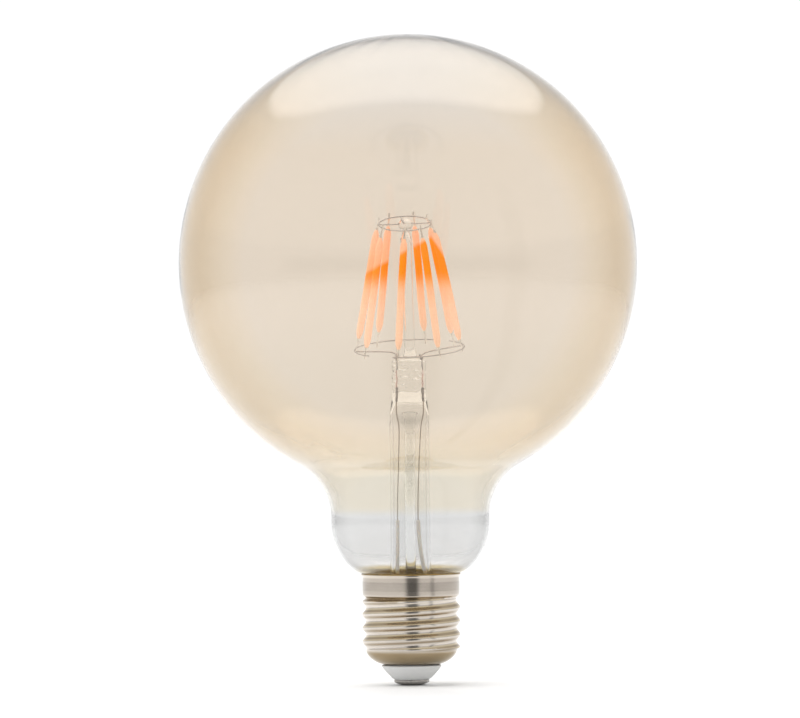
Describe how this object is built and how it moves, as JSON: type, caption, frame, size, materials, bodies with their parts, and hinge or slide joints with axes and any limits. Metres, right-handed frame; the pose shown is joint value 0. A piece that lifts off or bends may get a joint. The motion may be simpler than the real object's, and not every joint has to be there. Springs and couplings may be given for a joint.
{
  "type": "globe light bulb",
  "caption": "Large amber glass globe lamp with a cage of upright LED filaments on a glass stem, an E27 screw cap and a driver with a radio inside the cap.",
  "frame": {"origin": "centre of the flat end of the centre contact, at the foot of the screw cap", "axes": "+Z along the lamp's axis from the cap to the globe's crown, -Y the front, +X the right"},
  "size_m": [0.122, 0.122, 0.1738],
  "materials": {
    "amber_glass": "thin clear soda-lime glass with a pale amber vapour tint on the globe, clear at the neck",
    "clear_glass": "clear lead-free stem glass",
    "phosphor_coating": "orange-peach phosphor in silicone, satin",
    "steel_wire": "drawn nickel-plated iron wire",
    "nickel_plate": "nickel plate, softly polished, warm grey",
    "copper_wire": "copper-clad wire, slightly dull",
    "woven_sleeving": "beige woven glass-fibre sleeving",
    "basing_cement": "olive-brown basing cement",
    "insulator_plastic": "white-grey moulded plastic, satin",
    "circuit_board": "green solder mask",
    "black_moulding": "black epoxy moulding",
    "shield_can": "tinned steel",
    "ferrite": "dark grey ferrite and lacquered winding",
    "capacitor_sleeve": "dark blue shrink sleeve",
    "resistor_lacquer": "grey-blue lacquer",
    "wire_insulation": "red insulation"
  },
  "bodies": {
    "root": {"basing_cement": "basing_cement", "bridge_rectifier": "black_moulding", "cap_insulator": "insulator_plastic", "cap_shell": "nickel_plate", "centre_contact": "nickel_plate", "contact_wire": "wire_insulation", "driver_board": "circuit_board", "driver_ic": "black_moulding", "exhaust_tube": "clear_glass", "filament_1": "phosphor_coating", "filament_1_lower_tab": "nickel_plate", "filament_1_upper_tab": "nickel_plate", "filament_2": "phosphor_coating", "filament_2_lower_tab": "nickel_plate", "filament_2_upper_tab": "nickel_plate", "filament_3": "phosphor_coating", "filament_3_lower_tab": "nickel_plate", "filament_3_upper_tab": "nickel_plate", "filament_4": "phosphor_coating", "filament_4_lower_tab": "nickel_plate", "filament_4_upper_tab": "nickel_plate", "filament_5": "phosphor_coating", "filament_5_lower_tab": "nickel_plate", "filament_5_upper_tab": "nickel_plate", "filament_6": "phosphor_coating", "filament_6_lower_tab": "nickel_plate", "filament_6_upper_tab": "nickel_plate", "filament_7": "phosphor_coating", "filament_7_lower_tab": "nickel_plate", "filament_7_upper_tab": "nickel_plate", "filament_8": "phosphor_coating", "filament_8_lower_tab": "nickel_plate", "filament_8_upper_tab": "nickel_plate", "filter_inductor": "ferrite", "fusible_resistor": "resistor_lacquer", "glass_envelope": "amber_glass", "glass_post": "clear_glass", "left_back_arm": "steel_wire", "left_half_ring": "steel_wire", "left_insulation_sleeve": "woven_sleeving", "left_lead": "copper_wire", "left_sealing_wire": "copper_wire", "left_side_arm": "steel_wire", "left_weld_sleeve": "steel_wire", "radio_module": "shield_can", "right_half_ring": "steel_wire", "right_insulation_sleeve": "woven_sleeving", "right_lead": "copper_wire", "right_sealing_wire": "copper_wire", "right_side_arm": "steel_wire", "right_weld_sleeve": "steel_wire", "shell_wire": "copper_wire", "smoothing_capacitor": "capacitor_sleeve", "stem_tube": "clear_glass", "upper_ring": "steel_wire", "upper_support_back": "steel_wire", "upper_support_left": "steel_wire", "upper_support_right": "steel_wire"}
  },
  "joints": []
}
